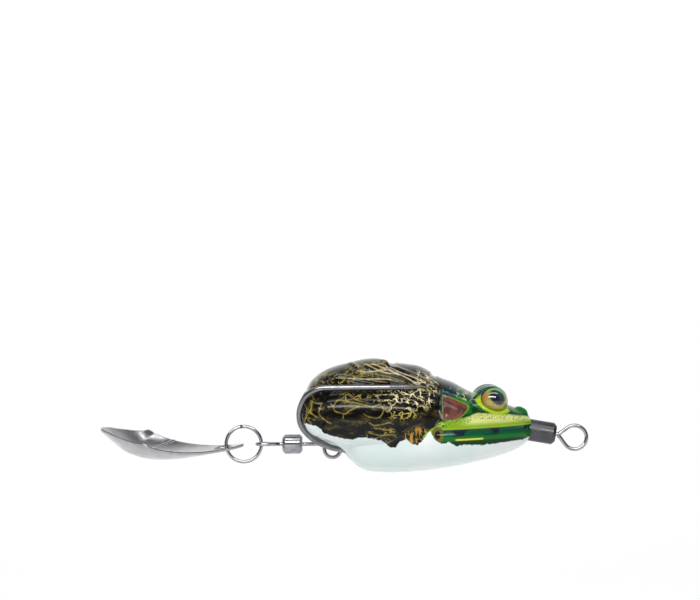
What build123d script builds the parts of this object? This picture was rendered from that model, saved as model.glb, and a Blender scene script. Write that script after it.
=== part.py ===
"""Soft hollow frog lure with a double hook, a nose swivel and a tail swivel with a kite-shaped spinner blade.

Millimetres.  +X points to the frog's nose, +Y to its left and +Z up.  The lure stands on its belly at Z = 0.
X = 0 is the middle of the whole lure, from the blade's tip to the line-tie ring.
"""
import os
from math import acos, cos, degrees, radians, sin, tan

from build123d import *

# ---- Body ----
body_length = 49.0
body_width = 29.3
body_height = 24.7
body_rear_x = -8.9
wall = 1.8
thigh_radius = 6.0
thigh_length = 30.0
thigh_height = 12.6
haunch_width = 26.0
nose_height_share = 0.372

# ---- Eyes ----
eye_radius = 3.0
eyelid_radius = 3.7
eye_depth = 1.4
eye_along_share = 0.82
eye_height_share = 0.622
lid_spread_share = 0.36
eye_stand_off = 1.0

# ---- Nose swivel and line tie ----
nose_barrel_radius = 2.35
nose_barrel_length = 9.0
nose_barrel_exposed = 5.4
nose_tilt = 9.5
tie_ring_radius = 2.55
tie_neck = 1.6
tie_neck_start = 0.5
nose_link_neck = 0.9
nose_cavity_depth = 4.0

# ---- Tail swivel ----
tail_barrel_radius = 2.1
tail_barrel_length = 4.3
tail_stem = 4.95
tail_neck = 1.95
tail_neck_start = 0.7
tail_ring_inset = 8.4
tail_ring_drop = 1.1
swivel_height_share = 0.249

# ---- Inside both swivel barrels ----
barrel_wall = 0.6
barrel_end = 0.9
barrel_rim_share = 0.28
head_thickness = 0.7

# ---- Wires ----
hook_wire_radius = 0.6
eye_wire_radius = 0.42
eye_ring_radius = 1.75
hook_eye_radius = 1.6
hook_point_length = 4.5
hook_point_share = 0.12
hook_bend_share = 0.45

# ---- Split ring and blade ----
split_ring_radius = 3.8
split_wire_radius = 0.38
split_end_gap = 0.5
blade_length = 30.9
blade_width = 22.5
blade_thickness = 0.7
blade_dish_radius = 30.0
blade_dish_share = 0.534
blade_hole_radius = 1.6
blade_hole_inset = 4.5
blade_hole_offset_share = 0.5
blade_corner_share = 0.335
blade_end_width = 1.6
blade_corner_round = 0.6
blade_drop = 3.25

# ---- Belly weight ----
weight_length = 11.0
weight_width = 8.0
weight_depth = 5.0
weight_corner = 1.6
weight_inset_share = 0.2755
weight_lift = 0.7
weight_stem_depth = 4.0
shank_depth_share = 0.62

# ---- Clearances ----
running_gap = 0.05
link_gap = 0.06
groove_gap = 0.12
seat_gap = 0.02
floor_gap = 0.3

# ---- Places that follow from the sizes ----
body_nose_x = body_rear_x + body_length
half_width = body_width / 2
thigh_centre_y = half_width - thigh_radius
nose_height = nose_height_share * body_height
swivel_height = swivel_height_share * body_height

# Sections of the torso, from the rump to the nose: share of the length, then half width as a share of
# half the haunch width, and top, bottom and widest height as shares of the body height.
torso_profile = [
    (0.000, 0.55, 0.66, 0.41, 0.535),
    (0.022, 0.76, 0.76, 0.36, 0.54),
    (0.082, 0.88, 0.865, 0.295, 0.53),
    (0.178, 0.95, 0.945, 0.182, 0.51),
    (0.245, 0.98, 0.985, 0.045, 0.49),
    (0.347, 1.00, 1.000, 0.000, 0.47),
    (0.469, 1.01, 0.950, 0.008, 0.45),
    (0.612, 1.00, 0.826, 0.040, 0.42),
    (0.735, 0.90, 0.688, 0.085, 0.40),
    (0.837, 0.75, 0.632, 0.138, 0.385),
    (0.929, 0.54, 0.567, 0.202, 0.38),
    (0.980, 0.36, 0.515, 0.255, 0.38),
    (1.000, 0.24, 0.465, 0.295, 0.38),
]
cavity_sections = torso_profile[2:9]


def torso_section(share, half, top, bottom, widest, inset):
    """Face of one torso section, half an ellipse above its widest height and half below, drawn in by inset."""
    reach = half * haunch_width / 2 - inset
    middle = widest * body_height
    rise = top * body_height - inset - middle
    drop = middle - bottom * body_height - inset
    with BuildSketch(Plane.YZ.offset(body_rear_x + share * body_length)) as section:
        with BuildLine():
            EllipticalCenterArc((0, middle), reach, rise, start_angle=0, arc_size=180)
            EllipticalCenterArc((0, middle), reach, drop, start_angle=180, arc_size=180)
        make_face()
    return section.sketch.face()


# ---- Frame of the nose swivel: local x runs forward along its axis, local y up ----
tilt = radians(nose_tilt)
nose_axis = Vector(cos(tilt), 0, -sin(tilt))
nose_point = Vector(body_nose_x, 0, nose_height)
nose_frame = Plane(origin=nose_point, x_dir=nose_axis, z_dir=(0, -1, 0))

# ---- Frame of the tail swivel: local x runs to the rear along its axis, local y up ----
tail_ring_front_x = body_rear_x + tail_ring_inset
tail_ring_centre_x = tail_ring_front_x - eye_wire_radius - eye_ring_radius
tail_ring_height = swivel_height - tail_ring_drop
tail_barrel_front_x = tail_ring_centre_x - eye_ring_radius + 0.5 * eye_wire_radius - tail_stem
tail_frame = Plane(origin=(tail_barrel_front_x, 0, swivel_height), x_dir=(-1, 0, 0), z_dir=(0, 1, 0))

# The wire of the weight's eye that the tail swivel hangs on, and its hinge axis.
tail_hinge_x = tail_ring_centre_x + eye_ring_radius - 2 * eye_wire_radius - link_gap
weight_eye_centre_x = tail_hinge_x + eye_ring_radius

stem_hole_radius = eye_wire_radius + running_gap


def barrel_part(frame, start, length, radius):
    """Hollow barrel of a swivel, with a stem hole in each end."""
    rim = barrel_rim_share * radius
    end = start + length
    bore = radius - barrel_wall
    with BuildPart() as barrel:
        with BuildSketch(frame):
            with BuildLine():
                Polyline(
                    (start, stem_hole_radius),
                    (start, radius - rim),
                    (start + rim, radius),
                    (end - rim, radius),
                    (end, radius - rim),
                    (end, stem_hole_radius),
                    (end - barrel_end, stem_hole_radius),
                    (end - barrel_end, bore),
                    (start + barrel_end, bore),
                    (start + barrel_end, stem_hole_radius),
                    close=True,
                )
            make_face()
        revolve(axis=Axis(frame.origin, frame.x_dir))
    return barrel.part


def swivel_eye_part(frame, head_at, head_radius, neck_at, ring_at, ring_lift, ring_radius, ring_normal):
    """Wire eye of a swivel: a head inside the barrel, a stem along the axis and a ring.

    head_at, neck_at and ring_at are places along the frame's local x, and ring_lift is how far the ring's
    centre stands off the axis.  The wire leaves the stem at neck_at as two straight legs that run on into
    the ring.  With neck_at None the stem runs straight into the ring.
    """
    forward = 1 if ring_at > head_at else -1
    stem_end = ring_at - forward * (ring_radius - 0.5 * eye_wire_radius)
    if neck_at is not None:
        stem_end = neck_at
    ring_centre = frame.from_local_coords((ring_at, ring_lift, 0))
    ring_plane = Plane(origin=ring_centre, x_dir=frame.x_dir * -forward, z_dir=ring_normal)
    with BuildPart() as eye:
        if neck_at is None:
            with Locations(ring_plane):
                Torus(ring_radius, eye_wire_radius)
        else:
            neck_distance = abs(ring_at - neck_at)
            leg_turn = degrees(acos(ring_radius / neck_distance))
            with BuildLine(ring_plane) as half_ring:
                arc = CenterArc((0, 0), ring_radius, leg_turn, 180 - leg_turn)
                Line((neck_distance, 0), arc @ 0)
            with BuildSketch(Plane(origin=arc @ 1, z_dir=arc % 1)):
                Circle(eye_wire_radius)
            sweep(path=half_ring.line)
            mirror(about=Plane(origin=ring_centre, x_dir=frame.x_dir, z_dir=ring_plane.y_dir))
        with BuildSketch(frame):
            with BuildLine():
                Polyline(
                    (head_at, 0),
                    (head_at, head_radius),
                    (head_at + forward * head_thickness, head_radius),
                    (head_at + forward * head_thickness, eye_wire_radius),
                    (stem_end, eye_wire_radius),
                    (stem_end + forward * eye_wire_radius, 0),
                    close=True,
                )
            make_face()
        revolve(axis=Axis(frame.origin, frame.x_dir))
    return eye.part


# ---- Nose swivel ----
nose_barrel_start = nose_barrel_exposed - nose_barrel_length
nose_barrel = barrel_part(nose_frame, nose_barrel_start, nose_barrel_length, nose_barrel_radius)
nose_barrel.label = "nose_swivel_barrel"

nose_head_radius = nose_barrel_radius - barrel_wall - 3 * running_gap
tie_ring_centre = nose_barrel_exposed + tie_neck + tie_ring_radius
tie_head = nose_barrel_exposed - barrel_end - head_thickness - running_gap
line_tie_eye = swivel_eye_part(
    nose_frame,
    tie_head,
    nose_head_radius,
    nose_barrel_exposed + tie_neck_start,
    tie_ring_centre,
    0,
    tie_ring_radius,
    (0, 1, 0),
)
line_tie_eye.label = "line_tie_eye"

nose_link_centre = nose_barrel_start - nose_link_neck - eye_ring_radius
nose_link_head = nose_barrel_start + barrel_end + head_thickness + running_gap
nose_link_eye = swivel_eye_part(
    nose_frame, nose_link_head, nose_head_radius, None, nose_link_centre, 0, eye_ring_radius, (0, 1, 0)
)
nose_link_eye.label = "nose_link_eye"

# ---- Tail swivel ----
tail_barrel = barrel_part(tail_frame, 0, tail_barrel_length, tail_barrel_radius)
tail_barrel.label = "tail_swivel_barrel"

tail_head_radius = tail_barrel_radius - barrel_wall - 3 * running_gap
tail_front_head = barrel_end + head_thickness + running_gap
tail_front_ring = tail_barrel_front_x - tail_ring_centre_x
tail_front_eye = swivel_eye_part(
    tail_frame,
    tail_front_head,
    tail_head_radius,
    None,
    tail_front_ring,
    tail_ring_height - swivel_height,
    eye_ring_radius,
    (0, 1, 0),
)
tail_front_eye.label = "tail_front_eye"

tail_rear_head = tail_barrel_length - barrel_end - head_thickness - running_gap
tail_rear_ring = tail_barrel_length + tail_neck + eye_ring_radius
tail_rear_eye = swivel_eye_part(
    tail_frame,
    tail_rear_head,
    tail_head_radius,
    tail_barrel_length + tail_neck_start,
    tail_rear_ring,
    0,
    eye_ring_radius,
    (0, 0, 1),
)
tail_rear_eye.label = "tail_rear_eye"

# ---- Split ring: two turns of wire, side by side, with the ends showing on opposite faces ----
split_hinge_x = tail_barrel_front_x - tail_rear_ring - eye_ring_radius
split_ring_front = split_hinge_x + eye_wire_radius + split_wire_radius + 2 * link_gap
split_centre = Vector(split_ring_front - split_ring_radius, 0, swivel_height)
turn_offset = 0.95 * split_wire_radius

with BuildPart() as split_ring:
    with BuildSketch(Plane.XY.offset(split_centre.Z)):
        with Locations(
            (split_ring_front, turn_offset),
            (split_ring_front, -turn_offset),
        ):
            Circle(split_wire_radius)
    revolve(axis=Axis(split_centre, (0, 1, 0)))
    for side in (1, -1):
        gap_centre = split_centre + Vector(side * split_end_gap, 0, split_ring_radius)
        with Locations(gap_centre + Vector(0, side * (turn_offset + split_wire_radius), 0)):
            Box(split_end_gap, 2 * split_wire_radius, 3 * split_wire_radius, mode=Mode.SUBTRACT)
split_ring.part.label = "split_ring"

# ---- Spinner blade: a dished kite with a round hole near its blunt end ----
blade_hinge_x = split_centre.X - split_ring_radius
blade_hole_x = blade_hinge_x - blade_hole_offset_share * blade_hole_radius
blade_front_x = blade_hole_x + blade_hole_inset
blade_tip_x = blade_front_x - blade_length
blade_corner_x = blade_tip_x + blade_corner_share * blade_length
dish_bottom = swivel_height - blade_drop
dish_centre_x = blade_tip_x + blade_dish_share * blade_length
dish_centre = Vector(dish_centre_x, 0, dish_bottom + blade_thickness + blade_dish_radius)
blade_prism_height = 0.8 * blade_dish_radius

with BuildPart() as blade:
    with BuildSketch(Plane.XY.offset(dish_centre.Z - 1.2 * blade_dish_radius)):
        with BuildLine():
            FilletPolyline(
                (blade_tip_x, 0),
                (blade_corner_x, -blade_width / 2),
                (blade_front_x, -blade_end_width / 2),
                (blade_front_x, blade_end_width / 2),
                (blade_corner_x, blade_width / 2),
                close=True,
                radius=blade_corner_round,
            )
        make_face()
        with Locations((blade_hole_x, 0)):
            Circle(blade_hole_radius, mode=Mode.SUBTRACT)
    extrude(amount=blade_prism_height)
    with Locations(dish_centre):
        Sphere(blade_dish_radius + blade_thickness, mode=Mode.INTERSECT)
        Sphere(blade_dish_radius, mode=Mode.SUBTRACT)
blade.part.label = "spinner_blade"

# ---- Double hook: two brazed shanks from a front eye, each bent up round a rear corner of the body ----
hook_eye_centre = nose_link_centre - eye_ring_radius + 2 * link_gap + eye_wire_radius
hook_eye_centre += hook_wire_radius - hook_eye_radius
hook_eye_point = nose_frame.from_local_coords((hook_eye_centre, 0, 0))
shank_start = nose_frame.from_local_coords((hook_eye_centre - hook_eye_radius, 0, 0))
braze_offset = hook_wire_radius + groove_gap + seat_gap
shank_spread = eye_ring_radius + eye_wire_radius + hook_wire_radius + 2 * groove_gap
weight_rear_x = body_rear_x + weight_inset_share * body_length
weight_front_x = weight_rear_x + weight_length
shank_height = wall + shank_depth_share * weight_depth

bend_stand_off = hook_wire_radius + groove_gap
point_height = 0.75 * body_height
hook_route = [
    (shank_start.X, braze_offset, shank_start.Z),
    (weight_front_x + 1.0, braze_offset, shank_height + 1.0),
    (weight_rear_x + 2.0, shank_spread, shank_height),
    (body_rear_x + 7.5, shank_spread + 0.2, 0.2 * body_height),
    (body_rear_x + 2.2, 0.34 * half_width, 0.28 * body_height),
    (body_rear_x - bend_stand_off, 0.56 * half_width, 0.42 * body_height),
    (body_rear_x - bend_stand_off - 0.2, 0.73 * half_width, 0.56 * body_height),
    (body_rear_x + 0.6, 0.83 * half_width, 0.69 * body_height),
    (body_rear_x + 3.4, 0.875 * half_width, point_height),
    (body_rear_x + 15.0, 0.84 * half_width, point_height + 0.1),
    (body_rear_x + 22.5, 0.745 * half_width, point_height + 0.1),
]


def corner_radii(points, share):
    """One bend radius for each inner point, as large as its two runs allow."""
    places = [Vector(point) for point in points]
    radii = []
    for before, corner, after in zip(places, places[1:], places[2:]):
        turn = (corner - before).get_angle(after - corner)
        shorter = min((corner - before).length, (after - corner).length)
        radii.append(share * shorter / tan(radians(turn) / 2))
    return radii


def hook_side(radius, tip_radius):
    """One side of the hook, swept along its route and tapered to its point, as a part."""
    with BuildPart() as side:
        with BuildLine() as route:
            FilletPolyline(*hook_route, radius=corner_radii(hook_route, hook_bend_share))
        with BuildSketch(Plane(origin=route.line @ 0, z_dir=route.line % 0)):
            Circle(radius)
        sweep(path=route.line)
        point_base = route.line @ 1
        point_axis = route.line % 1
        with BuildSketch(Plane(origin=point_base, z_dir=point_axis)):
            Circle(radius)
        with BuildSketch(Plane(origin=point_base + point_axis * hook_point_length, z_dir=point_axis)):
            Circle(tip_radius)
        loft()
    return side.part


with BuildPart() as double_hook:
    add(hook_side(hook_wire_radius, hook_point_share * hook_wire_radius))
    mirror(about=Plane.XZ)
    with Locations(Plane(origin=hook_eye_point, x_dir=nose_axis, z_dir=nose_frame.y_dir)):
        Torus(hook_eye_radius, hook_wire_radius)
double_hook.part.label = "double_hook"

# ---- Belly weight, cast round the shanks, and the wire eye cast into its rear end ----
weight_eye_height = tail_ring_height
weight_stem_end = weight_rear_x + weight_stem_depth

with BuildPart() as weight_eye:
    with Locations((weight_eye_centre_x, 0, weight_eye_height)):
        Torus(eye_ring_radius, eye_wire_radius)
    stem_start = weight_eye_centre_x + eye_ring_radius - 0.5 * eye_wire_radius
    with BuildSketch(Plane.YZ.offset(stem_start)):
        with Locations((0, weight_eye_height)):
            Circle(eye_wire_radius)
    extrude(amount=weight_stem_end - stem_start)
weight_eye.part.label = "weight_eye"

with BuildPart() as belly_weight:
    weight_bottom = wall + floor_gap + weight_lift
    with BuildSketch(Plane.XY.offset(weight_bottom)):
        with Locations(((weight_rear_x + weight_front_x) / 2, 0)):
            RectangleRounded(weight_length, weight_width, 2 * weight_corner)
    extrude(amount=weight_depth)
    chamfer(belly_weight.faces().sort_by(Axis.Z)[0].edges(), 0.5 * weight_corner)
    fillet(belly_weight.faces().sort_by(Axis.Z)[-1].edges(), 0.6 * weight_corner)
    add(double_hook.part, mode=Mode.SUBTRACT)
    add(weight_eye.part, mode=Mode.SUBTRACT)
belly_weight.part.label = "belly_weight"

# ---- Eyes: plano-convex domes seated in the lids ----
eye_x = body_rear_x + eye_along_share * body_length
eye_height = eye_height_share * body_height
lid_y = lid_spread_share * haunch_width / 2
eye_y = lid_y + eye_stand_off
eyes = {}
for name, side in (("eye_left", 1), ("eye_right", -1)):
    look = Vector(0.3, side, 0.25).normalized()
    centre = Vector(eye_x + 0.5 * eye_stand_off, side * eye_y, eye_height + 0.4 * eye_stand_off)
    with BuildPart() as eye:
        with Locations(centre):
            Sphere(eye_radius)
        split(bisect_by=Plane(origin=centre - look * eye_depth, z_dir=look), keep=Keep.TOP)
    eye.part.label = name
    eyes[name] = eye.part

# ---- Hollow body ----
tail_slot_radius = tail_hinge_x - tail_ring_centre_x + eye_ring_radius + eye_wire_radius + 2 * groove_gap
tail_slot_width = 2 * (eye_wire_radius + 2 * groove_gap)
link_slot_height = 2 * (eye_wire_radius + 2 * groove_gap)
nose_bore_start = hook_eye_centre - hook_eye_radius - nose_cavity_depth
nose_bore = Plane(origin=nose_frame.from_local_coords((nose_bore_start, 0, 0)), z_dir=nose_axis)

with BuildPart() as hook_channel:
    add(hook_side(hook_wire_radius + groove_gap, groove_gap + hook_point_share * hook_wire_radius))
    mirror(about=Plane.XZ)

with BuildPart() as body_shell:
    loft([torso_section(*station, inset=0) for station in torso_profile])
    for side in (1, -1):
        thigh_x = body_rear_x + 0.5 * thigh_length + groove_gap
        with BuildSketch(Plane(origin=(thigh_x, side * thigh_centre_y, thigh_height))):
            with BuildLine():
                EllipticalCenterArc((0, 0), thigh_length / 2, thigh_radius, start_angle=0, arc_size=180)
                Line((-thigh_length / 2, 0), (thigh_length / 2, 0))
            make_face()
        revolve(axis=Axis((thigh_x, side * thigh_centre_y, thigh_height), (1, 0, 0)))
        with Locations((eye_x, side * lid_y, eye_height)):
            Sphere(eyelid_radius)
    loft([torso_section(*station, inset=wall) for station in cavity_sections], mode=Mode.SUBTRACT)
    with BuildSketch(nose_bore):
        Circle(nose_barrel_radius + seat_gap)
    extrude(amount=body_length, mode=Mode.SUBTRACT)
    with BuildSketch(Plane.XZ):
        with Locations((tail_hinge_x, tail_ring_height)):
            Circle(tail_slot_radius)
    extrude(amount=tail_slot_width / 2, both=True, mode=Mode.SUBTRACT)
    with BuildSketch(Plane.XY.offset(weight_eye_height)):
        with Locations((weight_eye_centre_x, 0)):
            Circle(eye_ring_radius + eye_wire_radius + groove_gap)
    extrude(amount=link_slot_height / 2, both=True, mode=Mode.SUBTRACT)
    with BuildSketch(Plane.YZ.offset(weight_eye_centre_x)):
        with Locations((0, weight_eye_height)):
            Circle(eye_wire_radius + seat_gap)
    extrude(amount=weight_stem_end - weight_eye_centre_x, mode=Mode.SUBTRACT)
    add(hook_channel.part, mode=Mode.SUBTRACT)
    for eye_part in eyes.values():
        add(eye_part, mode=Mode.SUBTRACT)
body_shell.part.label = "body_shell"

pieces = [
    body_shell.part,
    eyes["eye_left"],
    eyes["eye_right"],
    double_hook.part,
    belly_weight.part,
    weight_eye.part,
    nose_barrel,
    nose_link_eye,
    line_tie_eye,
    tail_front_eye,
    tail_barrel,
    tail_rear_eye,
    split_ring.part,
    blade.part,
]
os.makedirs("parts", exist_ok=True)
for piece in pieces:
    export_step(piece, f"parts/{piece.label}.step")
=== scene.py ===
"""Looks of the hollow frog lure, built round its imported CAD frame.

The shape lines, borders and sizes of the body and the blade are in millimetres; MM turns them into metres.
"""
import math

import bmesh
import bpy
import numpy as np
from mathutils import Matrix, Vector
from mathutils.kdtree import KDTree


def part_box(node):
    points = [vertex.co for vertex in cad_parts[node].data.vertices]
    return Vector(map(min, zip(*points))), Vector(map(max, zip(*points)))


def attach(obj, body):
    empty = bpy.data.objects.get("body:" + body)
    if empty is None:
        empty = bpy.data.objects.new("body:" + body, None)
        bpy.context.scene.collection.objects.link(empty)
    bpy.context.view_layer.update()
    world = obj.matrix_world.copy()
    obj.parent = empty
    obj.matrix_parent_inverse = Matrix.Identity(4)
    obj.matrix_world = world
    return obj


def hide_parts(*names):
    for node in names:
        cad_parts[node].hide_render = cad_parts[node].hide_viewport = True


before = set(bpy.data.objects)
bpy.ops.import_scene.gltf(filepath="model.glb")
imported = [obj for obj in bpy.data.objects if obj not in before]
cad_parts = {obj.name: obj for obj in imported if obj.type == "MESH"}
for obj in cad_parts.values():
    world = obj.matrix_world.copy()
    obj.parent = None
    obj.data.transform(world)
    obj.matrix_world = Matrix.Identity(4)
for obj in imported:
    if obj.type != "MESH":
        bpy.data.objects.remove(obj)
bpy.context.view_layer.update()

MM = 0.001
REAR_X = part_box("body_shell")[0].x


# ---------------------------------------------------------------- helpers

def ramp(values, low, high):
    """Smooth step from 0 at low to 1 at high."""
    t = np.clip((values - low) / (high - low), 0, 1)
    return t * t * (3 - 2 * t)


def band(values, centre, half, soft):
    """1 within half of centre, fading to 0 over soft beyond it."""
    return 1 - ramp(np.abs(values - centre), half, half + soft)


def curve_through(points, places):
    """Smooth curve through (place, value) points: a Catmull-Rom spline read at the given places."""
    xs = np.array([p[0] for p in points], float)
    ys = np.array([p[1] for p in points], float)
    slopes = np.gradient(ys, xs)
    index = np.clip(np.searchsorted(xs, places) - 1, 0, len(xs) - 2)
    step = xs[index + 1] - xs[index]
    t = np.clip((places - xs[index]) / step, 0, 1)
    return (
        ys[index] * (1 + 2 * t) * (1 - t) ** 2
        + slopes[index] * step * t * (1 - t) ** 2
        + ys[index + 1] * t * t * (3 - 2 * t)
        + slopes[index + 1] * step * t * t * (t - 1)
    )


def object_from(name, verts, faces):
    mesh = bpy.data.meshes.new(name)
    mesh.from_pydata([tuple(v) for v in verts], [], faces)
    mesh.validate()
    made = bpy.data.objects.new(name, mesh)
    bpy.context.scene.collection.objects.link(made)
    return made


def applied(made, name):
    """The object's mesh with its modifiers applied, as a new object; the old one goes."""
    graph = bpy.context.evaluated_depsgraph_get()
    mesh = bpy.data.meshes.new_from_object(made.evaluated_get(graph))
    bpy.data.objects.remove(made)
    final = bpy.data.objects.new(name, mesh)
    bpy.context.scene.collection.objects.link(final)
    return final


def smooth_shade(made):
    made.data.shade_smooth()


def mesh_points(made):
    points = np.zeros(len(made.data.vertices) * 3)
    made.data.vertices.foreach_get("co", points)
    return points.reshape(-1, 3)


def mesh_normals(made):
    normals = np.zeros(len(made.data.vertices) * 3, np.float32)
    made.data.vertex_normals.foreach_get("vector", normals)
    return normals.reshape(-1, 3).astype(float)


def set_points(made, points):
    made.data.vertices.foreach_set("co", points.astype(np.float32).ravel())
    made.data.update()


# ---------------------------------------------------------------- body form
# Outlines of the body in millimetres: along from the rump, then the value there.

TOP_LINE = [
    (0.0, 16.2), (1.0, 18.8), (2.8, 20.9), (4.6, 22.1), (6.5, 22.9), (9.6, 23.7), (13.0, 24.5), (16.3, 24.6),
    (19.0, 23.9), (22.0, 23.5), (25.0, 23.0), (27.5, 21.7), (29.5, 20.5), (32.0, 19.6), (35.5, 17.7),
    (39.0, 16.3), (42.5, 15.2), (45.0, 14.3), (47.2, 13.4), (48.6, 12.2), (49.0, 11.2),
]
BELLY_LINE = [
    (0.0, 10.6), (1.0, 9.2), (3.0, 7.7), (6.0, 6.0), (8.6, 4.4), (9.9, 3.0), (11.4, 1.5), (13.2, 0.6),
    (16.5, 0.1), (20.0, 0.05), (25.0, 0.3), (30.3, 1.0), (35.5, 2.0), (39.0, 2.8), (42.5, 3.8), (46.0, 5.2),
    (48.0, 6.6), (49.0, 8.0),
]
WAIST_LINE = [
    (0.0, 13.3), (6.0, 13.0), (12.0, 12.2), (18.0, 11.5), (25.0, 10.8), (32.0, 9.9), (40.0, 9.4),
    (49.0, 9.5),
]
SIDE_LINE = [
    (0.0, 7.6), (1.0, 9.6), (3.0, 10.9), (6.0, 11.6), (10.0, 12.1), (16.0, 12.6), (22.0, 12.9), (27.0, 13.1),
    (30.0, 13.0), (34.0, 12.3), (38.0, 11.2), (42.0, 9.3), (44.5, 7.9), (46.5, 6.2), (48.0, 4.3),
    (49.0, 2.6),
]
RING_POINTS = 96
TORSO_STEPS = 120


def torso():
    """The torso as rings of points from the rump to the nose."""
    along = 49.0 * (1 - np.cos(np.linspace(0, math.pi, TORSO_STEPS))) / 2
    top, bottom = curve_through(TOP_LINE, along), curve_through(BELLY_LINE, along)
    waist, side = curve_through(WAIST_LINE, along), curve_through(SIDE_LINE, along)
    angle = np.linspace(0, 2 * math.pi, RING_POINTS, endpoint=False)
    verts = []
    for x, high, low, mid, reach in zip(along, top, bottom, waist, side):
        for a in angle:
            cos_a, sin_a = math.cos(a), math.sin(a)
            power = 2.25 if sin_a > 0 else 2.1
            round_off = (abs(cos_a) ** power + abs(sin_a) ** power) ** (-1 / power)
            rise = (high - mid) if sin_a > 0 else (mid - low)
            verts.append((x, reach * cos_a * round_off, mid + rise * sin_a * round_off))
    faces = []
    for i in range(TORSO_STEPS - 1):
        for j in range(RING_POINTS):
            a = i * RING_POINTS + j
            b = i * RING_POINTS + (j + 1) % RING_POINTS
            faces.append((a, a + RING_POINTS, b + RING_POINTS, b))
    faces.append(tuple(reversed(range((TORSO_STEPS - 1) * RING_POINTS, TORSO_STEPS * RING_POINTS))))
    faces.append(tuple(range(RING_POINTS)))
    return verts, faces


def rounded_block(centre, reach, power, tilt=0.0):
    """Superellipsoid, turned by tilt radians about the Y axis."""
    made = bmesh.new()
    bmesh.ops.create_icosphere(made, subdivisions=5, radius=1.0)
    verts = []
    for v in made.verts:
        p = np.array(v.co)
        p = p / (np.sum(np.abs(p) ** power) ** (1 / power))
        p = p * np.array(reach)
        x = p[0] * math.cos(tilt) + p[2] * math.sin(tilt)
        z = p[2] * math.cos(tilt) - p[0] * math.sin(tilt)
        verts.append((centre[0] + x, centre[1] + p[1], centre[2] + z))
    faces = [tuple(v.index for v in f.verts) for f in made.faces]
    made.free()
    return verts, faces


EYE_MIDDLE = {}
for eye_name in ("eye_left", "eye_right"):
    eye_low, eye_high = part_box(eye_name)
    EYE_MIDDLE[eye_name] = (eye_low + eye_high) / 2


def body_lumps():
    """Closed forms that together make the body: torso, thighs, haunches, eyelids and nostrils."""
    lumps = [torso()]
    for side in (1, -1):
        lumps.append(rounded_block((13.8, side * 8.75, 12.3), (14.0, 5.9, 6.1), 2.35, 0.03))
        lumps.append(rounded_block((6.0, side * 7.4, 13.2), (6.3, 5.3, 5.6), 2.5))
        lumps.append(rounded_block((20.5, side * 8.6, 12.6), (9.6, 5.8, 5.2), 2.3, 0.06))
        lumps.append(rounded_block((39.9, side * 4.6, 15.35), (3.9, 3.7, 3.7), 2.0))
        lumps.append(rounded_block((46.6, side * 2.1, 12.9), (1.7, 1.2, 1.35), 2.0, 0.3))
    return lumps


VOXEL_MM = 0.24


def body_skin():
    """The lumps joined into one smooth skin."""
    verts, faces = [], []
    for lump_verts, lump_faces in body_lumps():
        base = len(verts)
        verts += lump_verts
        faces += [tuple(base + i for i in f) for f in lump_faces]
    points = np.array(verts) * MM + np.array([REAR_X, 0, 0])
    made = object_from("frog_body", points, faces)
    remesh = made.modifiers.new("one skin", "REMESH")
    remesh.mode = "VOXEL"
    remesh.voxel_size = VOXEL_MM * MM
    relax = made.modifiers.new("relax", "SMOOTH")
    relax.factor = 0.5
    relax.iterations = 9
    return applied(made, "frog_body")


def in_body_mm(points):
    """Row-frame points as along, across (always positive) and height, in millimetres from the rump."""
    return (points[:, 0] - REAR_X) / MM, np.abs(points[:, 1]) / MM, points[:, 2] / MM


def line_distance(x, y, route):
    """Distance from each (x, y) to a bent line through the route's points."""
    best = np.full(len(x), 1e9)
    for (x0, y0), (x1, y1) in zip(route, route[1:]):
        dx, dy = x1 - x0, y1 - y0
        t = np.clip(((x - x0) * dx + (y - y0) * dy) / (dx * dx + dy * dy), 0, 1)
        best = np.minimum(best, np.hypot(x - x0 - t * dx, y - y0 - t * dy))
    return best


def smooth_route(points, pieces=6):
    """A bent line's points, rounded into a smooth curve."""
    marks = np.arange(len(points))
    places = np.linspace(0, len(points) - 1, pieces * (len(points) - 1) + 1)
    xs = curve_through([(m, p[0]) for m, p in zip(marks, points)], places)
    ys = curve_through([(m, p[1]) for m, p in zip(marks, points)], places)
    return list(zip(xs, ys))


def patch_distance(x, y, outline):
    """Signed distance to a closed outline: positive inside."""
    inside = np.zeros(len(x), bool)
    closed = outline + outline[:1]
    for (x0, y0), (x1, y1) in zip(closed, closed[1:]):
        crosses = (y0 > y) != (y1 > y)
        slope = (x1 - x0) / (y1 - y0) if y1 != y0 else 0.0
        inside ^= crosses & (x < x0 + (y - y0) * slope)
    return np.where(inside, 1, -1) * line_distance(x, y, closed)


# Side-view lines, along and height in millimetres.
FLANK_RIDGES = [
    [(9.3, 24.0), (13.5, 21.8), (18.5, 20.8), (24.0, 18.8), (28.0, 17.0)],
    [(16.8, 24.6), (19.0, 22.9), (23.5, 21.2), (28.5, 18.3)],
    [(11.0, 21.9), (16.0, 21.2), (21.0, 19.9), (25.5, 17.9)],
    [(7.5, 20.9), (13.0, 20.3), (18.0, 19.6)],
]
MOUTH_LINE = [(28.5, 8.9), (34.0, 9.2), (40.0, 9.5), (45.0, 9.7), (49.5, 10.0)]
LIP_LINE = [(along, height + 1.3) for along, height in MOUTH_LINE]
SHOULDER_LINE = [(28.9, 18.4), (29.4, 15.0), (28.9, 12.0), (27.2, 9.6), (25.4, 7.8)]
HEEL_LINE = [(3.9, 17.2), (4.3, 14.0), (4.2, 11.2), (3.0, 9.3)]
TYMPANUM = [
    (29.8, 12.0), (29.8, 16.8), (31.0, 16.5), (32.2, 16.0), (34.0, 15.2), (34.9, 14.7), (35.1, 14.3),
    (34.9, 13.9), (34.0, 12.9), (33.2, 12.3), (32.2, 11.9), (31.0, 11.8),
]
EYE_OPENING = (3.15, 2.45)
LID_RIM = 0.55
LID_SINK = 2.2
LID_DROP = 0.25
HOOK_CLEARANCE = 0.15
HOOK_BED_DEPTH = 0.9


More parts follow.
